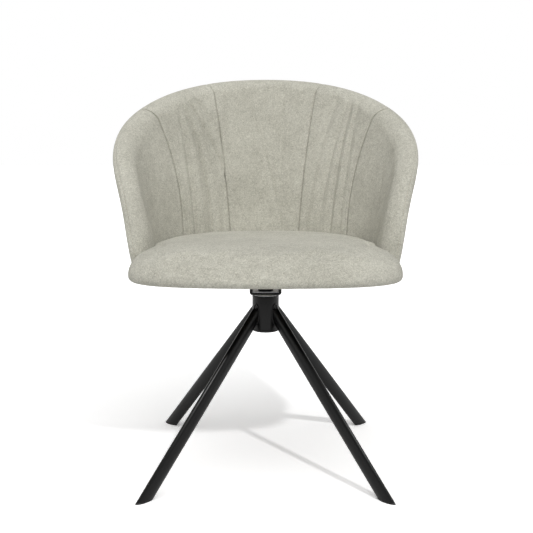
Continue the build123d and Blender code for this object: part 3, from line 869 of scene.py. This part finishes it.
weld_curve = bpy.data.curves.new("welds", "CURVE")
weld_curve.dimensions = "3D"
weld_curve.bevel_depth = bead_radius
weld_curve.bevel_resolution = 3
for side in (-1, 1):
    for end in (-1, 1):
        points = weld_line(side, end)
        spline = weld_curve.splines.new("POLY")
        spline.points.add(len(points) - 1)
        for spot, point in zip(spline.points, points):
            spot.co = (*point, 1.0)
        spline.use_cyclic_u = True
weld_object = bpy.data.objects.new("weld_curve", weld_curve)
weld_bm = bmesh.new()
weld_bm.from_mesh(bpy.data.meshes.new_from_object(weld_object))
bpy.data.objects.remove(weld_object)
welds = new_object("hub_welds", weld_bm, powder_coat)
place_piece(welds, "base", [])

# %% [markdown]
# ## Hub, cap and races
# These are turned parts, so each is an outline of radius and height pairs, spun round the swivel axis. The
# small bevels catch the light as the edges of real turned parts do. The cap keeps a pin hole in its middle,
# because a spin that ends on the axis leaves a pole of thin triangles.

# %% Turned parts
corner_angle = 50.0
turn_steps = 72


def make_turned(name, outline, material, body, node, bevel):
    """Full turn of a closed outline of (radius, height) corners."""
    bm = bmesh.new()
    corners = [bm.verts.new((radius, 0, height)) for radius, height in outline]
    edges = [bm.edges.new(pair) for pair in zip(corners, corners[1:] + corners[:1])]
    turn = {"cent": (0, 0, 0), "axis": (0, 0, 1), "dvec": (0, 0, 0), "angle": 2 * pi, "steps": turn_steps}
    bmesh.ops.spin(bm, geom=corners + edges, use_merge=True, **turn)
    bmesh.ops.remove_doubles(bm, verts=bm.verts, dist=merge_distance)
    bmesh.ops.recalc_face_normals(bm, faces=bm.faces)
    bevel_sharp(bm, bevel, 3, corner_angle)
    piece = new_object(name, bm, material)
    place_piece(piece, body, [node])


hub_wall = 2.5 * mm
hub_bore = hub_radius - hub_wall
hub_outline = [(hub_bore, hub_low), (hub_radius, hub_low), (hub_radius, hub_high), (hub_bore, hub_high)]
make_turned("hub_sleeve", hub_outline, powder_coat, "base", "hub_tube", bevel=0.7 * mm)

cap_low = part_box("hub_cap")[0].z
cap_high = hub_low - 0.3 * mm
cap_round = 2.4 * mm
pin_hole = 0.5 * mm
cap_outline = [
    (pin_hole, cap_low),
    (hub_radius - cap_round, cap_low),
    (hub_radius - cap_round * (1 - sin(pi / 4)), cap_low + cap_round * (1 - cos(pi / 4))),
    (hub_radius, cap_low + cap_round),
    (hub_radius, cap_high),
    (pin_hole, cap_high),
]
make_turned("hub_end_cap", cap_outline, polypropylene, "base", "hub_cap", bevel=0.4 * mm)

race_width = 9.5 * mm
for name, body in (("lower_race", "base"), ("upper_race", "seat")):
    low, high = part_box(name)
    bore = high.x - race_width
    race_outline = [(bore, low.z), (high.x, low.z), (high.x, high.z), (bore, high.z)]
    make_turned(f"{name}_ring", race_outline, zinc, body, name, bevel=0.3 * mm)

# %% [markdown]
# ## Swivel bracket
# A channel folded from thick steel strip. A cube keeps only its bottom and two sides, its two bends are
# bevelled round, and then it gets its thickness.

# %% Bracket
bracket_low, bracket_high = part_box("swivel_bracket")
bracket_size = bracket_high - bracket_low
bracket_steel = 4.3 * mm
bracket_bend = 6 * mm
bracket_edge = 0.6 * mm

bracket_bm = bmesh.new()
bmesh.ops.create_cube(bracket_bm, size=1.0)
bmesh.ops.scale(bracket_bm, vec=bracket_size, verts=bracket_bm.verts)
bmesh.ops.translate(bracket_bm, vec=(bracket_low + bracket_high) / 2, verts=bracket_bm.verts)
open_faces = [face for face in bracket_bm.faces if abs(face.normal.y) > 0.5 or face.normal.z > 0.5]
bmesh.ops.delete(bracket_bm, geom=open_faces, context="FACES_ONLY")
loose = [edge for edge in bracket_bm.edges if not edge.link_faces]
bmesh.ops.delete(bracket_bm, geom=loose, context="EDGES")
bends = [edge for edge in bracket_bm.edges if len(edge.link_faces) == 2]
bmesh.ops.bevel(bracket_bm, geom=bends, offset=bracket_bend, segments=8, **bevel_options)
bmesh.ops.solidify(bracket_bm, geom=bracket_bm.faces[:], thickness=bracket_steel)
bmesh.ops.recalc_face_normals(bracket_bm, faces=bracket_bm.faces)
bevel_sharp(bracket_bm, bracket_edge, 3, corner_angle)
bracket = new_object("bracket_channel", bracket_bm, powder_coat)
place_piece(bracket, "seat", ["swivel_bracket"])

# %% [markdown]
# ## Floor, light and camera
# The floor and the world are white to the camera, and the floor keeps the chair's shadow. To reflections
# the room is white behind and beside the chair and dark in front of it, where a studio's own darkness is,
# which is what gives black gloss its dark middle and light edges. What lights the chair is a dim room with a
# wide softbox, painted into the world high in front and slightly to the left, and one lamp high at the
# right front, which shades the folds and casts the shadow. The camera's place, tilt and lens come from
# fitting the four legs on their level floor to the photo.

# %% Floor
floor_reach = 30.0
floor_gap = 0.2 * mm
plain_tone, seen_tone = 0.8, 1.4

floor_bm = bmesh.new()
bmesh.ops.create_grid(floor_bm, x_segments=1, y_segments=1, size=floor_reach)
bmesh.ops.translate(floor_bm, vec=(0, 0, -floor_gap), verts=floor_bm.verts)
floor_material, floor_tree = new_material("white_studio_floor")
floor_path = add_node(floor_tree, "ShaderNodeLightPath")
floor_plain = add_node(floor_tree, "ShaderNodeBsdfDiffuse", {"Color": (plain_tone, plain_tone, plain_tone, 1)})
floor_seen = add_node(floor_tree, "ShaderNodeBsdfDiffuse", {"Color": (seen_tone, seen_tone, seen_tone, 1)})
floor_choice = {0: floor_path.outputs["Is Camera Ray"], 1: floor_plain.outputs[0], 2: floor_seen.outputs[0]}
floor_mix = add_node(floor_tree, "ShaderNodeMixShader", floor_choice)
add_node(floor_tree, "ShaderNodeOutputMaterial", {"Surface": floor_mix.outputs[0]})
floor = new_object("studio_floor", floor_bm, floor_material)
floor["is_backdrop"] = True

# %% World
white = (1, 1, 1, 1)
softbox = Vector((-0.1, -0.52, 0.85))
room_light, softbox_light = 0.28, 1.85
softbox_focus = 4.0
front_gloss = 0.4

world = bpy.data.worlds.new("studio")
bpy.context.scene.world = world
world.use_nodes = True
world_tree = world.node_tree
world_tree.nodes.clear()
path = add_node(world_tree, "ShaderNodeLightPath")
direction = add_node(world_tree, "ShaderNodeTexCoord").outputs["Generated"]
split = add_node(world_tree, "ShaderNodeSeparateXYZ", {"Vector": direction})
gloss_range = spread(split.outputs["Y"], -0.6, 0.0, front_gloss, 1.0)
room_gloss = add_node(world_tree, "ShaderNodeMapRange", gloss_range).outputs["Result"]
mirrored = add_node(world_tree, "ShaderNodeBackground", {"Color": white, "Strength": room_gloss})
seen = add_node(world_tree, "ShaderNodeBackground", {"Color": white, "Strength": 1.0})
toward_inputs = {0: direction, 1: softbox}
toward = add_node(world_tree, "ShaderNodeVectorMath", toward_inputs, operation="DOT_PRODUCT").outputs["Value"]
facing = add_node(world_tree, "ShaderNodeMath", {0: toward, 1: 0.0}, operation="MAXIMUM").outputs[0]
pool = add_node(world_tree, "ShaderNodeMath", {0: facing, 1: softbox_focus}, operation="POWER").outputs[0]
light_range = spread(pool, 0.0, 1.0, room_light, room_light + softbox_light)
soft_light = add_node(world_tree, "ShaderNodeMapRange", light_range).outputs["Result"]
lighting = add_node(world_tree, "ShaderNodeBackground", {"Color": white, "Strength": soft_light})
rays = {0: path.outputs["Is Glossy Ray"], 1: path.outputs["Is Transmission Ray"]}
either = add_node(world_tree, "ShaderNodeMath", rays, operation="MAXIMUM").outputs[0]
unseen_choice = {0: either, 1: lighting.outputs[0], 2: mirrored.outputs[0]}
unseen = add_node(world_tree, "ShaderNodeMixShader", unseen_choice).outputs[0]
seen_choice = {0: path.outputs["Is Camera Ray"], 1: unseen, 2: seen.outputs[0]}
choose = add_node(world_tree, "ShaderNodeMixShader", seen_choice).outputs[0]
add_node(world_tree, "ShaderNodeOutputWorld", {"Surface": choose})
print("light: room", room_light, "softbox", softbox_light)

# %% Lamp
towards_lamp = Vector((0.5, -1.05, 1.0))
key = bpy.data.lights.new("key", "SUN")
key.energy = 0.9
key.angle = radians(3.0)
key_lamp = bpy.data.objects.new("key", key)
key_lamp.rotation_euler = towards_lamp.to_track_quat("Z", "Y").to_euler()
bpy.context.scene.collection.objects.link(key_lamp)

# %% Camera
camera_place = (1.85 * mm, -1729 * mm, 653.9 * mm)
camera_tilt = 0.139  # radians below level

camera = bpy.data.cameras.new("camera")
camera.sensor_width = 36.0
camera.lens = 57.04
camera_object = bpy.data.objects.new("camera", camera)
camera_object.location = camera_place
camera_object.rotation_euler = (pi / 2 - camera_tilt, 0, 0)
bpy.context.scene.collection.objects.link(camera_object)
bpy.context.scene.camera = camera_object
bpy.context.scene.view_settings.view_transform = "Standard"
print("camera, mm:", [round(value / mm) for value in camera_place])

# %% Sizes
low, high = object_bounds()
print("visual box, mm:", [round(value / mm) for value in (*low, *high)])
